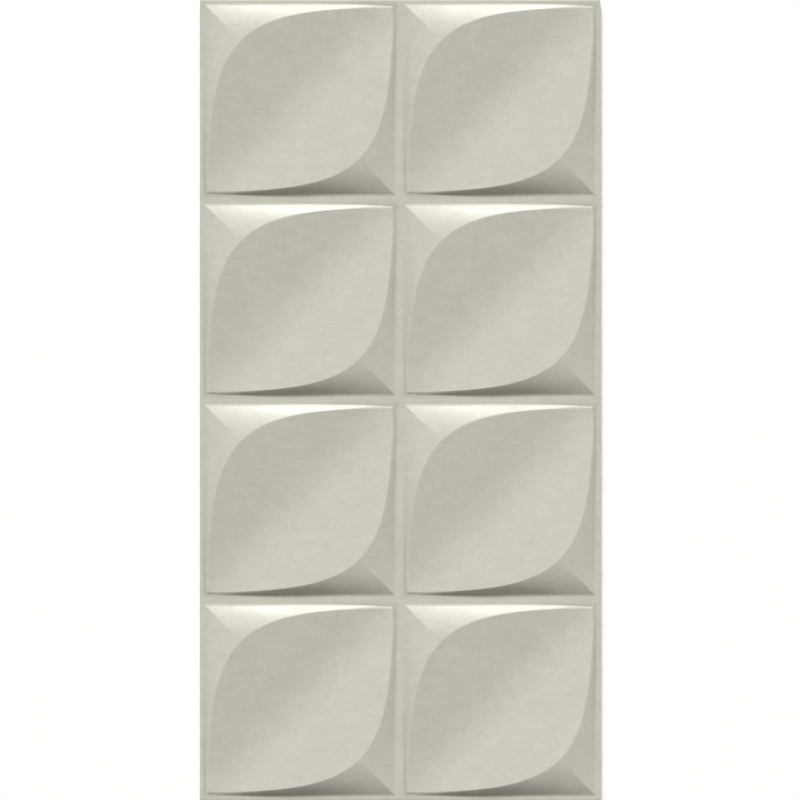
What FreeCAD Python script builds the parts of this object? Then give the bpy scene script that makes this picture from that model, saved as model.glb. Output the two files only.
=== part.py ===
import FreeCAD, Part
import math
import os
from FreeCAD import Vector

# Relief wall tile, cast in one piece: a flat back, and a front of square cells that each
# carry a leaf folded along its diagonal. Millimetres. The origin is the centre of the
# back, +X is the width, +Y the length, and +Z points out of the front.

# Driving dimensions
COLUMNS = 2              # cells across the width
ROWS = 4                 # cells along the length
CELL_PITCH = 150.0       # from one cell to the next, both ways
GROOVE_WIDTH = 7.5       # flat band between two cells, half of it along the tile's edges
GROOVE_THICKNESS = 8.0   # from the back to the floor of the grooves
CREST_SETBACK = 27.0     # plan distance from a leaf's crest to the two cell sides beside it
TIP_SETBACK = 2.5        # plan distance from a leaf's tip to the two cell sides beside it
FOOT_SETBACK = 1.2       # the same distance for the foot of the wall under the tip
CREST_RISE = 6.25        # the crests above the groove floor
FOLD_RISE = 0.4          # the bottom of a leaf's fold, with its tips, above the groove floor
FOLD_WIDTH = 32.0        # breadth of the rounding between a leaf's two flanks
FACET_BULGE = 0.4        # how much steeper a facet is at its foot than on average, as a share

# How the cells are drawn: the power by which a facet's foot bends in to the tip, and how
# far the facets of a block climb before its leaf is cut, where 1 is the leaf's edge.
FOOT_BEND = 12
BLOCK_CLIMB = 1.25

cell_half = (CELL_PITCH - GROOVE_WIDTH) / 2
tip_reach = cell_half - TIP_SETBACK
crest_reach = cell_half - CREST_SETBACK
crest_distance = crest_reach * math.sqrt(2)
fold_half = FOLD_WIDTH / 2
flank_slope = (CREST_RISE - FOLD_RISE) / (crest_distance - fold_half / 2)


def leaf_rise(distance):
    """A leaf's height at this distance from its fold: a parabola, then a flat flank."""
    curved = min(distance, fold_half)
    return FOLD_RISE + flank_slope * (curved ** 2 / FOLD_WIDTH + distance - curved)


def leaf_edge(share):
    """The leaf's upper edge from crest (0) to tip (1), a cubic that ends along the cell's side."""
    along = share * (1.5 * tip_reach - crest_reach) + share ** 3 * (crest_reach - tip_reach / 2)
    across = crest_reach * (1 - share ** 2)
    return Vector(along - across, along + across, leaf_rise(across * math.sqrt(2)))


def facet_foot(share):
    """The upper facet's foot from the crest's corner (0) to the tip (1), bent in at its end."""
    inset = FOOT_SETBACK * share ** FOOT_BEND
    return Vector(cell_half * (2 * share - 1) - inset, cell_half - inset, 0)


def facet_start(share):
    """The middle pole of a facet's line at this share, which sets how steeply it starts."""
    way = leaf_edge(share) - facet_foot(share)
    way.z *= 1 + FACET_BULGE
    return facet_foot(share) + way * (BLOCK_CLIMB / 2)


def facet_rim(share):
    """Where a facet's line ends in the block, past the leaf's edge."""
    way = leaf_edge(share) - facet_foot(share)
    way.z *= 1 + FACET_BULGE * (1 - BLOCK_CLIMB)
    return facet_foot(share) + way * BLOCK_CLIMB


def curve_poles(point_at, start, end):
    """The poles of the curve that follows a polynomial from one share to another."""
    shares = [start + (end - start) * step / FOOT_BEND for step in range(FOOT_BEND + 1)]
    curve = Part.BezierCurve()
    curve.interpolate([[point_at(share)] for share in shares])
    return curve.getPoles()


def patch(*rows):
    """The face of a Bezier surface with these rows of poles."""
    surface = Part.BezierSurface()
    surface.increase(FOOT_BEND, len(rows) - 1)
    for row_number, row in enumerate(rows, 1):
        for number, pole in enumerate(row, 1):
            surface.setPole(number, row_number, pole)
    return surface.toShape()


def across_the_fold(points):
    """The same points on the other side of the fold, which runs along x = y."""
    return [Vector(point.y, point.x, point.z) for point in points]


def half_turned(points):
    """The same points turned half round the cell's centre."""
    return [Vector(-point.x, -point.y, point.z) for point in points]


def leaf_block():
    """A cell before its leaf is cut: facets on all sides that climb past the leaf's edges."""
    fold_share = math.sqrt(1 - fold_half / crest_distance)
    faces = []
    sole_edges = []
    for start, end in ((0, fold_share), (fold_share, 1)):
        upper = [curve_poles(point_at, start, end) for point_at in (facet_foot, facet_start, facet_rim)]
        right = [across_the_fold(row) for row in upper]
        lower = [half_turned(row) for row in upper]
        left = [half_turned(row) for row in right]
        for facet in (upper, right, lower, left):
            faces.append(patch(*facet))
            foot = Part.BezierCurve()
            foot.setPoles(facet[0])
            sole_edges.append(foot.toShape())
        faces.append(patch(upper[-1], right[-1]))
        faces.append(patch(lower[-1], left[-1]))
    faces.append(Part.Face(Part.Wire(Part.__sortEdges__(sole_edges))))

    shell = Part.Shell(faces)
    shell.sewShape()
    block = Part.Solid(shell)
    if block.Volume < 0:
        block.reverse()
    return block


def leaf_cutter():
    """What is cut away over a leaf: two sloping flanks and the rounded fold between them."""
    reach = CELL_PITCH
    top = leaf_rise(reach) + CREST_RISE
    along = Vector(1, 1, 0).normalize()
    across = Vector(1, -1, 0).normalize()

    def corner(distance, height):
        return along * -reach + across * distance + Vector(0, 0, height)

    def on_leaf(distance):
        return corner(distance, leaf_rise(abs(distance)))

    fold = Part.BezierCurve()
    fold_pole = corner(0, leaf_rise(fold_half) - flank_slope * fold_half)
    fold.setPoles([on_leaf(-fold_half), fold_pole, on_leaf(fold_half)])
    edges = [
        Part.LineSegment(on_leaf(-reach), on_leaf(-fold_half)),
        fold,
        Part.LineSegment(on_leaf(fold_half), on_leaf(reach)),
        Part.LineSegment(on_leaf(reach), corner(reach, top)),
        Part.LineSegment(corner(reach, top), corner(-reach, top)),
        Part.LineSegment(corner(-reach, top), on_leaf(-reach)),
    ]
    profile = Part.Wire([edge.toShape() for edge in edges])
    return Part.Face(profile).extrude(along * 2 * reach)


def relief_tile():
    """The whole tile: a flat slab up to the groove floor, and its cells in rows."""
    width = COLUMNS * CELL_PITCH
    length = ROWS * CELL_PITCH
    slab = Part.makeBox(width, length, GROOVE_THICKNESS, Vector(-width / 2, -length / 2, 0))

    cell = leaf_block().cut(leaf_cutter())
    cells = []
    for column in range(COLUMNS):
        for row in range(ROWS):
            placed = cell.copy()
            x = (column + 0.5) * CELL_PITCH - width / 2
            y = (row + 0.5) * CELL_PITCH - length / 2
            placed.translate(Vector(x, y, GROOVE_THICKNESS))
            cells.append(placed)
    return slab.multiFuse(cells).removeSplitter()


os.makedirs("parts", exist_ok=True)
tile = relief_tile()
tile.exportStep("parts/relief_tile.step")
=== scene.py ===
import bpy
import math
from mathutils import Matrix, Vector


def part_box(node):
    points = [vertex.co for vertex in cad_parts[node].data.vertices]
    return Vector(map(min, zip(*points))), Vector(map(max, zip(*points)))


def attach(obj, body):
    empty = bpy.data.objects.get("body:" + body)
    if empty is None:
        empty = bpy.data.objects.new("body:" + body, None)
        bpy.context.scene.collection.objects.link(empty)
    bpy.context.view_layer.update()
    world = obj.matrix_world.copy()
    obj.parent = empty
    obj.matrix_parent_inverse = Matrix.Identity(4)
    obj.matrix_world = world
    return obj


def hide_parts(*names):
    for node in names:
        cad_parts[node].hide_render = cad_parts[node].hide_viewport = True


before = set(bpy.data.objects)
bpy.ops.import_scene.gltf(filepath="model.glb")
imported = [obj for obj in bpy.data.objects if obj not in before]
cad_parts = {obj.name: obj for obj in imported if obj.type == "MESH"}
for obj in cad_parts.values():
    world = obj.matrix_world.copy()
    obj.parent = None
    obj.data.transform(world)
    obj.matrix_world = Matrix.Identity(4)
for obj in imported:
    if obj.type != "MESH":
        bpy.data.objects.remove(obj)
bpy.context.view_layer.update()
scene = bpy.context.scene


# Camera
# The tile lies on its back and is seen square on, from so far above that its sides don't
# show. Its length fills the height of the picture.

low_corner, high_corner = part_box("relief_tile")
tile_width, tile_length, tile_height = high_corner - low_corner
camera_height = 8.0
camera_reach = 100.0
sensor_mm = 36.0

camera_data = bpy.data.cameras.new("camera")
camera_data.sensor_width = sensor_mm
camera_data.lens = sensor_mm * camera_height / tile_length
camera_data.clip_end = camera_reach
camera = bpy.data.objects.new("camera", camera_data)
camera.location = (0.0, 0.0, camera_height)
scene.collection.objects.link(camera)
scene.camera = camera


# The relief tile
# One casting of fine pale concrete with a flat back, left as it comes from a smooth mould
# and sealed to a satin sheen. Each square cell on its front holds a leaf that is folded
# along its diagonal, and curved facets climb from the flat grooves to the leaf's edge.

tile_columns = 2
tile_rows = 4
groove_thickness = 0.008
tile_sizes = {
    "Cell pitch": tile_width / tile_columns,
    "Groove width": 0.0075,
    "Groove thickness": groove_thickness,
    "Crest setback": 0.027,
    "Tip setback": 0.0025,
    "Foot setback": 0.0012,
    "Crest rise": tile_height - groove_thickness,
    "Fold rise": 0.0004,
    "Fold width": 0.032,
    "Facet bulge": 0.4,
    "Arris": 0.0004,
    "Foot round": 0.0012,
}
tile_counts = {"Columns": tile_columns, "Rows": tile_rows}

relief = bpy.data.node_groups.new("leaf relief", "GeometryNodeTree")
for name, value in tile_sizes.items():
    size_input = relief.interface.new_socket(name, in_out="INPUT", socket_type="NodeSocketFloat")
    size_input.default_value = value
for name, value in tile_counts.items():
    count_input = relief.interface.new_socket(name, in_out="INPUT", socket_type="NodeSocketInt")
    count_input.default_value = value
relief.interface.new_socket("Finish", in_out="INPUT", socket_type="NodeSocketMaterial")
relief.interface.new_socket("Tile", in_out="OUTPUT", socket_type="NodeSocketGeometry")
given = relief.nodes.new("NodeGroupInput").outputs


def feed(socket, value):
    """Link a node's input to another node's output, or set it to a plain value."""
    if isinstance(value, bpy.types.NodeSocket):
        socket.id_data.links.new(value, socket)
    elif socket.type == "VECTOR" and isinstance(value, (int, float)):
        socket.default_value = (value, value, value)
    else:
        socket.default_value = value


def add(tree, kind, settings=None, **inputs):
    """A new node in a tree, with its inputs fed by name."""
    node = tree.nodes.new(kind)
    for setting, value in (settings or {}).items():
        setattr(node, setting, value)
    for name, value in inputs.items():
        feed(node.inputs[name.replace("_", " ")], value)
    return node


def made(kind, settings=None, **inputs):
    """The first output of a new node in the relief's tree."""
    return add(relief, kind, settings, **inputs).outputs[0]


def calc(operation, *values):
    """The result of a sum on numbers, in the tree that they come from."""
    sockets = [value for value in values if isinstance(value, bpy.types.NodeSocket)]
    node = add(sockets[0].id_data, "ShaderNodeMath", {"operation": operation})
    for socket, value in zip(node.inputs, values):
        feed(socket, value)
    return node.outputs[0]


def calc_point(operation, *values):
    """The result of a sum on points."""
    node = add(relief, "ShaderNodeVectorMath", {"operation": operation})
    for socket, value in zip(node.inputs, values):
        feed(socket, value)
    return node.outputs["Vector"]


def distance(start, end):
    """The length between two points."""
    node = add(relief, "ShaderNodeVectorMath", {"operation": "DISTANCE"})
    feed(node.inputs[0], start)
    feed(node.inputs[1], end)
    return node.outputs["Value"]


def point(x, y, z):
    """A point from its three coordinates."""
    return made("ShaderNodeCombineXYZ", X=x, Y=y, Z=z)


def split(place):
    """A point's three coordinates, by the names of the axes."""
    return add(relief, "ShaderNodeSeparateXYZ", Vector=place).outputs


def toward(start, end, share):
    """The point this share of the way from one point to another."""
    return calc_point("MULTIPLY_ADD", calc_point("SUBTRACT", end, start), share, start)


def eased(corner, before, after):
    """A corner drawn in halfway towards the middle of its neighbours, to round it off."""
    return toward(corner, toward(before, after, 0.5), 0.5)


# A quarter of a cell, from the leaf's fold to the cell's upper side. Spokes stand across it
# side by side, from the crest's corner at share 0 to the tip's corner at share 1. They are
# even, but for a few close to each end that keep the arrises there crisp
spoke_count = 60
close_spokes = 2
pitch_half = calc("MULTIPLY", given["Cell pitch"], 0.5)
cell_half = calc("SUBTRACT", pitch_half, calc("MULTIPLY", given["Groove width"], 0.5))
tip = calc("SUBTRACT", cell_half, given["Tip setback"])
crest = calc("SUBTRACT", cell_half, given["Crest setback"])
floor_level = given["Groove thickness"]

grid_place = split(made("GeometryNodeInputPosition"))
spoke = calc("ROUND", calc("ADD", grid_place["X"], spoke_count / 2))
arris_share = calc("DIVIDE", given["Arris"], given["Cell pitch"])
close_share = calc("MULTIPLY", arris_share, close_spokes)
from_start = calc("MULTIPLY", spoke, arris_share)
from_end = calc("SUBTRACT", 1.0, calc("MULTIPLY", calc("SUBTRACT", spoke_count, spoke), arris_share))
even_step = calc("DIVIDE", calc("MULTIPLY_ADD", close_share, -2.0, 1.0), spoke_count - 2 * close_spokes)
even = calc("MULTIPLY_ADD", calc("SUBTRACT", spoke, close_spokes), even_step, close_share)
share = calc("MINIMUM", calc("MAXIMUM", even, from_start), from_end)

# The leaf's edge from crest to tip: a cubic along the fold, and a parabola to the side of it
share_squared = calc("MULTIPLY", share, share)
share_cubed = calc("MULTIPLY", share_squared, share)
straight_part = calc("MULTIPLY", share, calc("MULTIPLY_ADD", tip, 1.5, calc("MULTIPLY", crest, -1.0)))
curved_part = calc("MULTIPLY", share_cubed, calc("MULTIPLY_ADD", tip, -0.5, crest))
along = calc("ADD", straight_part, curved_part)
across = calc("MULTIPLY", crest, calc("SUBTRACT", 1.0, share_squared))

# The leaf's height: a parabola across the fold, and then a flat flank on each side
square_diagonal = math.sqrt(2)
fold_half = calc("MULTIPLY", given["Fold width"], 0.5)
crest_distance = calc("MULTIPLY", crest, square_diagonal)
leaf_climb = calc("SUBTRACT", given["Crest rise"], given["Fold rise"])
flank_run = calc("MULTIPLY_ADD", fold_half, -0.5, crest_distance)
flank_slope = calc("DIVIDE", leaf_climb, flank_run)


def on_leaf(part):
    """A point of the leaf, this part of the way from the fold to the edge."""
    aside = calc("MULTIPLY", across, part)
    reach = calc("MULTIPLY", aside, square_diagonal)
    curved = calc("MINIMUM", reach, fold_half)
    fold_run = calc("DIVIDE", calc("POWER", curved, 2.0), given["Fold width"])
    run = calc("ADD", fold_run, calc("SUBTRACT", reach, curved))
    rise = calc("MULTIPLY_ADD", flank_slope, run, given["Fold rise"])
    return point(calc("SUBTRACT", along, aside), calc("ADD", along, aside), calc("ADD", rise, floor_level))


# The facet's foot runs straight along the cell's side and bends in to the tip at its end
foot_bend = 12.0
side_share = calc("MULTIPLY_ADD", share, 2.0, -1.0)
foot_inset = calc("MULTIPLY", given["Foot setback"], calc("POWER", share, foot_bend))
foot_run = calc("MULTIPLY", cell_half, side_share)
foot = point(calc("SUBTRACT", foot_run, foot_inset), calc("SUBTRACT", cell_half, foot_inset), floor_level)
edge = on_leaf(1.0)
edge_rise = split(calc_point("SUBTRACT", edge, foot))["Z"]


def on_facet(climb):
    """A point of the facet, this share of the way up from its foot to the leaf's edge."""
    rise = calc("MULTIPLY", edge_rise, climb)
    swell = calc("SUBTRACT", rise, calc("MULTIPLY", rise, climb))
    lift = calc("MULTIPLY", swell, given["Facet bulge"])
    return calc_point("ADD", toward(foot, edge, climb), point(0.0, 0.0, lift))


# The arris along the leaf's edge and the corner at the facet's foot are rounded off, but
# never over more than a share of the leaf or the facet. Beside each rounding a ring stands
# further out, at these multiples of its width, so that the shading stays crisp
widest_arris = 0.09
widest_round = 0.12
arris_margin = 2.0
foot_margin = 1.5

leaf_run = calc("MULTIPLY", across, square_diagonal)
leaf_arris = calc("MINIMUM", calc("DIVIDE", given["Arris"], leaf_run), widest_arris)
leaf_brink = on_leaf(calc("SUBTRACT", 1.0, leaf_arris))
leaf_margin = on_leaf(calc("MULTIPLY_ADD", leaf_arris, -arris_margin, 1.0))

facet_run = distance(foot, edge)
facet_arris = calc("MINIMUM", calc("DIVIDE", given["Arris"], facet_run), widest_arris)
facet_brink = on_facet(calc("SUBTRACT", 1.0, facet_arris))
facet_margin = on_facet(calc("MULTIPLY_ADD", facet_arris, -arris_margin, 1.0))

border = point(calc("MULTIPLY", pitch_half, side_share), pitch_half, floor_level)
foot_round = calc("MINIMUM", given["Foot round"], calc("MULTIPLY", facet_run, widest_round))
facet_round = calc("DIVIDE", foot_round, facet_run)
facet_toe = on_facet(facet_round)
facet_toe_margin = on_facet(calc("MULTIPLY", facet_round, foot_margin))
floor_round = calc("DIVIDE", foot_round, distance(foot, border))
floor_toe = toward(foot, border, floor_round)
floor_toe_margin = toward(foot, border, calc("MULTIPLY", floor_round, foot_margin))

flat_start = calc("MULTIPLY", given["Arris"], arris_margin)
border_scale = calc("SUBTRACT", 1.0, calc("DIVIDE", flat_start, pitch_half))
border_inner = calc_point("MULTIPLY", border, point(border_scale, border_scale, 1.0))

# The rings from the fold to the border, each with its place and its mark: up to 1 on a worn arris, and down
# to -1 for painted shade in the corner at the foot, which deepens towards the tip
leaf_rows = (0.0, 0.05, 0.1, 0.15, 0.2, 0.27, 0.38, 0.54, 0.72)
facet_rows = (0.8, 0.6, 0.4, 0.2)
flat_mark = 0.0
brink_mark = 0.5
arris_mark = 1.0
foot_places = (facet_toe_margin, facet_toe, eased(foot, facet_toe, floor_toe), floor_toe, floor_toe_margin)
# Painted shade: how deeply the corner at the facet's foot is darkened, more towards the tip
foot_shade_depths = (-0.6, -1.0, -1.0, -1.0, -0.6)
foot_shade_marks = [calc("MULTIPLY", share_squared, depth) for depth in foot_shade_depths]
rings = [(on_leaf(part), flat_mark) for part in leaf_rows]
rings += [
    (leaf_margin, flat_mark),
    (leaf_brink, brink_mark),
    (eased(edge, leaf_brink, facet_brink), arris_mark),
    (facet_brink, brink_mark),
    (facet_margin, flat_mark),
]
rings += [(on_facet(climb), flat_mark) for climb in facet_rows]
rings += zip(foot_places, foot_shade_marks)
rings += [(border_inner, flat_mark), (border, flat_mark)]
ring_places, ring_marks = zip(*rings)
last_ring = len(rings) - 1
ring = calc("ROUND", calc("ADD", grid_place["Y"], last_ring / 2))
mark_name = "wear_and_shade_mark"


def by_ring(data_type, values):
    """For each point, the one of these values that belongs to its ring."""
    switch = add(relief, "GeometryNodeIndexSwitch", {"data_type": data_type})
    while len(switch.index_switch_items) < len(values):
        switch.index_switch_items.new()
    feed(switch.inputs[0], ring)
    for socket, value in zip(list(switch.inputs)[1:], values):
        feed(socket, value)
    return switch.outputs[0]


def mark_edges(geometry, selection, mark):
    """Store a mark on points, for the finish to find worn arrises and the corners it paints shade into."""
    on_points = {"data_type": "FLOAT", "domain": "POINT"}
    return made("GeometryNodeStoreNamedAttribute", on_points,
                Geometry=geometry, Selection=selection, Name=mark_name, Value=mark)


def joined(*pieces):
    """Several meshes as one."""
    node = add(relief, "GeometryNodeJoinGeometry")
    for piece in pieces:
        feed(node.inputs[0], piece)
    return node.outputs[0]


grid = made("GeometryNodeMeshGrid", Size_X=spoke_count, Size_Y=last_ring,
            Vertices_X=spoke_count + 1, Vertices_Y=last_ring + 1)
marked = mark_edges(grid, True, by_ring("FLOAT", ring_marks))
quarter = made("GeometryNodeSetPosition", Geometry=marked, Position=by_ring("VECTOR", ring_places))

# The quarter's mirror image across the fold makes half a cell, and a half turn the rest
mirrored = made("GeometryNodeTransform", Geometry=quarter,
                Rotation=(0.0, 0.0, math.pi / 2), Scale=(1.0, -1.0, 1.0))
half_cell = joined(quarter, made("GeometryNodeFlipFaces", Mesh=mirrored))
turned = made("GeometryNodeTransform", Geometry=half_cell, Rotation=(0.0, 0.0, math.pi))
cell = joined(half_cell, turned)

# The cells stand in rows, and their borders are welded
weld = 2e-6
centres = made(
    "GeometryNodeMeshGrid",
    Size_X=calc("MULTIPLY", given["Cell pitch"], calc("SUBTRACT", given["Columns"], 1.0)),
    Size_Y=calc("MULTIPLY", given["Cell pitch"], calc("SUBTRACT", given["Rows"], 1.0)),
    Vertices_X=given["Columns"],
    Vertices_Y=given["Rows"],
)
placed = made("GeometryNodeInstanceOnPoints", Points=centres, Instance=cell)
cells = made("GeometryNodeRealizeInstances", Geometry=placed)
front = made("GeometryNodeMergeByDistance", Geometry=cells, Distance=weld)

# The rim goes down from the front's outline to the back, with its arrises rounded off. Each
# step has how far it is set in from the tile's sides, its height and its mark
arris = given["Arris"]
round_inset = calc("MULTIPLY", arris, 1 - math.sqrt(0.5))
rim_profile = [
    (arris, floor_level, brink_mark),
    (round_inset, calc("SUBTRACT", floor_level, round_inset), arris_mark),
    (0.0, calc("SUBTRACT", floor_level, arris), brink_mark),
    (0.0, calc("SUBTRACT", floor_level, flat_start), flat_mark),
    (0.0, flat_start, flat_mark),
    (0.0, arris, brink_mark),
    (round_inset, round_inset, arris_mark),
    (arris, 0.0, brink_mark),
    (flat_start, 0.0, flat_mark),
]
tile_half_width = calc("MULTIPLY", pitch_half, given["Columns"])
tile_half_length = calc("MULTIPLY", pitch_half, given["Rows"])


def set_in(geometry, selection, inset_before, inset, height, mark):
    """Move an outline in from the tile's sides and to a height, and mark it."""
    here = split(made("GeometryNodeInputPosition"))
    moved = []
    for axis, half in (("X", tile_half_width), ("Y", tile_half_length)):
        scale = calc("DIVIDE", calc("SUBTRACT", half, inset), calc("SUBTRACT", half, inset_before))
        moved.append(calc("MULTIPLY", here[axis], scale))
    shaped = made("GeometryNodeSetPosition", Geometry=geometry, Selection=selection,
                  Position=point(*moved, height))
    return mark_edges(shaped, selection, mark)


neighbours = add(relief, "GeometryNodeInputMeshEdgeNeighbors")
lone_face = calc("LESS_THAN", neighbours.outputs["Face Count"], 2.0)
outline = made("GeometryNodeFieldOnDomain", {"domain": "EDGE", "data_type": "BOOLEAN"}, Value=lone_face)
body = set_in(front, outline, 0.0, *rim_profile[0])
for (inset_before, _, _), step in zip(rim_profile, rim_profile[1:]):
    drawn = add(relief, "GeometryNodeExtrudeMesh", {"mode": "EDGES"},
                Mesh=body, Selection=outline, Offset_Scale=0.0)
    outline = drawn.outputs["Top"]
    body = set_in(drawn.outputs["Mesh"], outline, inset_before, *step)

# The back is flat and closes the casting
back_outline = made("GeometryNodeMeshToCurve", Mesh=body, Selection=outline)
back = made("GeometryNodeFlipFaces", Mesh=made("GeometryNodeFillCurve", Curve=back_outline))
closed = made("GeometryNodeMergeByDistance", Geometry=joined(body, back), Distance=weld)
smooth = made("GeometryNodeSetShadeSmooth", Geometry=closed)
finished = made("GeometryNodeSetMaterial", Geometry=smooth, Material=given["Finish"])
relief.links.new(finished, relief.nodes.new("NodeGroupOutput").inputs[0])

concrete = bpy.data.materials.new("sealed pale concrete")
concrete.use_nodes = True
coat = concrete.node_tree
concrete_shader = coat.nodes["Principled BSDF"]
where = add(coat, "ShaderNodeTexCoord").outputs["Object"]
# Marks from the relief: above 0 on worn arrises, below 0 where shade is painted into the feet's corners
wear_and_shade_marks = add(coat, "ShaderNodeAttribute", {"attribute_name": mark_name}).outputs["Fac"]


def noise(place, scale, detail=2.0, roughness=0.5):
    """A cloudy pattern from about 0.3 to 0.7, with this many clouds to the metre."""
    clouds = add(coat, "ShaderNodeTexNoise", Vector=place, Scale=scale, Detail=detail, Roughness=roughness)
    return clouds.outputs["Fac"]


# The tone: drifting clouds and a mottle drawn out by the sealer's brush, rubbed paler on
# arrises, and painted shade that darkens the corners at the facets' feet, most towards the tips
dark_concrete = (0.37, 0.36, 0.295, 1.0)
pale_concrete = (0.69, 0.68, 0.615, 1.0)
base_tone = 0.15
cloud_contrast = 0.35
arris_paling = 0.1
corner_shade_strength = 0.4
brush_stretch = (0.5, 1.0, 1.0)
brushed = add(coat, "ShaderNodeMapping", Vector=where, Scale=brush_stretch).outputs[0]
drift = noise(where, scale=25.0, detail=7.0, roughness=1.0)
mottle = noise(brushed, scale=170.0, roughness=1.0)
worn = calc("MAXIMUM", wear_and_shade_marks, 0.0)
# Painted shade in the corners at the facets' feet
painted_corner_shade = calc("MINIMUM", wear_and_shade_marks, 0.0)
tone = calc("MULTIPLY_ADD", calc("ADD", drift, mottle), cloud_contrast, base_tone)
tone = calc("MULTIPLY_ADD", worn, arris_paling, tone)
tone = calc("MULTIPLY_ADD", painted_corner_shade, corner_shade_strength, tone)
tones = add(coat, "ShaderNodeValToRGB", Fac=tone)
tones.color_ramp.elements[0].color = dark_concrete
tones.color_ramp.elements[1].color = pale_concrete
feed(concrete_shader.inputs["Base Color"], tones.outputs["Color"])

# The sheen: the sealer lies unevenly
least_roughness = 0.35
roughness_spread = 0.3
sealer = noise(brushed, scale=35.0)
feed(concrete_shader.inputs["Roughness"], calc("MULTIPLY_ADD", sealer, roughness_spread, least_roughness))

# The skin: slow waves from the mould, fine grain, and a few pinholes where the largest of
# the air bubbles broke through
wave_depth = 0.0003
grain_depth = 0.00003
bubbles_per_metre = 150.0
bubble_spread = 0.3
skin_over_bubbles = 0.22
pinhole_steepness = 40.0
pinhole_in_grains = 4.0
waves = add(coat, "ShaderNodeBump", Height=noise(where, scale=40.0), Distance=wave_depth)
grain = noise(where, scale=1500.0)
bubbles = add(coat, "ShaderNodeTexVoronoi", Vector=where, Scale=bubbles_per_metre).outputs
bubble_pick = add(coat, "ShaderNodeSeparateColor", Color=bubbles["Color"]).outputs["Red"]
pinhole_size = calc("MULTIPLY_ADD", bubble_pick, bubble_spread, -skin_over_bubbles)
pinhole_depth = calc("MULTIPLY", calc("SUBTRACT", pinhole_size, bubbles["Distance"]), pinhole_steepness)
pinhole = calc("MINIMUM", calc("MAXIMUM", pinhole_depth, 0.0), 1.0)
skin_height = calc("MULTIPLY_ADD", pinhole, -pinhole_in_grains, grain)
skin = add(coat, "ShaderNodeBump", Height=skin_height, Distance=grain_depth, Normal=waves.outputs["Normal"])
feed(concrete_shader.inputs["Normal"], skin.outputs["Normal"])

tile = bpy.data.objects.new("relief_tile_cast", bpy.data.meshes.new("relief_tile_cast"))
scene.collection.objects.link(tile)
casting = tile.modifiers.new("leaf relief", "NODES")
casting.node_group = relief
tile_inputs = {**tile_sizes, **tile_counts, "Finish": concrete}
for socket in relief.interface.items_tree:
    if socket.name in tile_inputs:
        casting[socket.identifier] = tile_inputs[socket.name]
depsgraph = bpy.context.evaluated_depsgraph_get()
tile.data = bpy.data.meshes.new_from_object(tile.evaluated_get(depsgraph))
tile.modifiers.clear()
tile.data.materials.clear()
tile.data.materials.append(concrete)
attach(tile, "root")
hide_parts("relief_tile")


# Floor and light
# A white studio floor, and soft light that comes low from the tile's upper end. The room
# is white to the camera and in reflections, and lights the tile with a dim warm fill.

white = (1.0, 1.0, 1.0, 1.0)
floor_z = -0.0001
floor_reach = 3.0
floor_corners = [
    (-floor_reach, -floor_reach, floor_z),
    (floor_reach, -floor_reach, floor_z),
    (floor_reach, floor_reach, floor_z),
    (-floor_reach, floor_reach, floor_z),
]
floor_mesh = bpy.data.meshes.new("floor")
floor_mesh.from_pydata(floor_corners, [], [(0, 1, 2, 3)])
floor = bpy.data.objects.new("floor", floor_mesh)
scene.collection.objects.link(floor)
floor_paint = bpy.data.materials.new("floor")
floor_paint.use_nodes = True
floor_paint.node_tree.nodes["Principled BSDF"].inputs["Base Color"].default_value = white
floor_mesh.materials.append(floor_paint)

sun_strength = 4.65
sun_spread = math.radians(20)
sun_tilt = math.radians(-58)
sun_turn = math.radians(5)
sun_data = bpy.data.lights.new("key", "SUN")
sun_data.energy = sun_strength
sun_data.angle = sun_spread
sun = bpy.data.objects.new("key", sun_data)
sun.rotation_euler = (sun_tilt, 0.0, sun_turn)
scene.collection.objects.link(sun)

fill_colour = (1.0, 0.975, 0.88, 1.0)
fill_strength = 0.21
world = bpy.data.worlds.new("studio")
world.use_nodes = True
room = world.node_tree
fill = room.nodes["Background"]
fill.inputs["Color"].default_value = fill_colour
fill.inputs["Strength"].default_value = fill_strength
backdrop = add(room, "ShaderNodeBackground", Color=white, Strength=1.0)
rays = add(room, "ShaderNodeLightPath").outputs
reflected = calc("MAXIMUM", rays["Is Glossy Ray"], rays["Is Transmission Ray"])
seen = calc("MAXIMUM", rays["Is Camera Ray"], reflected)
both = add(room, "ShaderNodeMixShader", Fac=seen)
feed(both.inputs[1], fill.outputs[0])
feed(both.inputs[2], backdrop.outputs[0])
feed(room.nodes["World Output"].inputs["Surface"], both.outputs[0])
scene.world = world

scene.view_settings.view_transform = "Standard"
